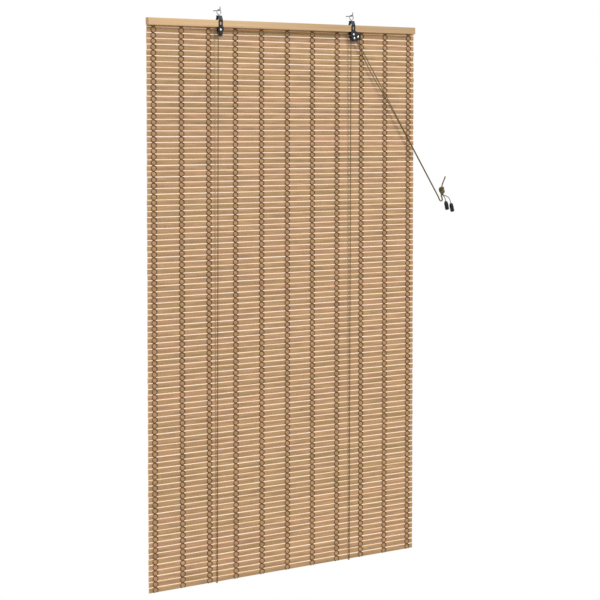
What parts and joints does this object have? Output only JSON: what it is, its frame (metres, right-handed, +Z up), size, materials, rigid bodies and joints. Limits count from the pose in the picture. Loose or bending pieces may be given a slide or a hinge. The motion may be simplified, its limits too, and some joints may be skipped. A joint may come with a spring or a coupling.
{
  "type": "roll-up blind",
  "caption": "Roll-up window blind of woven bamboo slats with a wooden head rail, wall hooks, pulley, cord lock and pull cords.",
  "frame": {"origin": "on the wall, midway between the two hooks, at the height of their shanks", "axes": "X along the rail to the right as seen from the room, Y into the wall, Z up"},
  "size_m": [1.1637, 0.044, 1.6426],
  "materials": {
    "rail_wood": "pale plain wood, planed, with eased edges",
    "bamboo": "stained bamboo, satin, colour varying from slat to slat",
    "twine": "brown twisted twine",
    "zinc_wire": "zinc plated wire",
    "black_steel": "black plated sheet steel",
    "bright_rivet": "bright nickel rivets",
    "sheave_plastic": "dark brown moulded plastic",
    "cam_steel": "dull steel",
    "fixing_steel": "zinc plated",
    "cord_braid": "olive brown braided cord",
    "black_plastic": "black glossy plastic"
  },
  "bodies": {
    "blind": {"head_rail": "rail_wood", "slat_mat": "bamboo", "twine_01": "twine", "twine_02": "twine", "twine_03": "twine", "twine_04": "twine", "twine_05": "twine", "twine_06": "twine", "twine_07": "twine", "twine_08": "twine", "twine_09": "twine", "twine_10": "twine", "twine_11": "twine", "left_hook": "zinc_wire", "right_hook": "zinc_wire", "left_eye": "zinc_wire", "right_eye": "zinc_wire", "left_strap": "black_steel", "right_strap": "black_steel", "left_rear_cheek": "black_steel", "right_rear_cheek": "black_steel", "left_axle_rivet": "black_steel", "left_frame_rivet": "bright_rivet", "right_frame_rivet": "bright_rivet", "right_axle_rivet": "bright_rivet", "cam_rivet": "bright_rivet", "mat_tacks": "fixing_steel", "strap_screws": "fixing_steel", "cord_staples": "fixing_steel", "left_lift_cord": "cord_braid", "right_lift_cord": "cord_braid", "pull_knot": "cord_braid", "knot_tail": "cord_braid", "left_tassel_cord": "cord_braid", "right_tassel_cord": "cord_braid", "left_tassel": "black_plastic", "right_tassel": "black_plastic"},
    "left_sheave": {"left_sheave": "sheave_plastic"},
    "right_rear_sheave": {"right_rear_sheave": "sheave_plastic"},
    "right_front_sheave": {"right_front_sheave": "sheave_plastic"},
    "lock_cam": {"lock_cam": "cam_steel"}
  },
  "joints": [
    {"name": "left_sheave_spin", "type": "hinge", "parent": "blind", "child": "left_sheave", "pos_m": [-0.2485, -0.0211, -0.06495], "axis": [0, -1, 0], "continuous": true},
    {"name": "right_rear_sheave_spin", "type": "hinge", "parent": "blind", "child": "right_rear_sheave", "pos_m": [0.2525, -0.0166, -0.06495], "axis": [0, -1, 0], "continuous": true},
    {"name": "right_front_sheave_spin", "type": "hinge", "parent": "blind", "child": "right_front_sheave", "pos_m": [0.2525, -0.0211, -0.06495], "axis": [0, -1, 0], "continuous": true},
    {"name": "lock_cam_swing", "type": "hinge", "parent": "blind", "child": "lock_cam", "pos_m": [0.2665, -0.01885, -0.06095], "axis": [0, -1, 0], "range_deg": [0, 30]}
  ],
  "couplings": [
    {"joint": "right_rear_sheave_spin", "follows": "left_sheave_spin", "ratio": 1},
    {"joint": "right_front_sheave_spin", "follows": "left_sheave_spin", "ratio": 1}
  ]
}
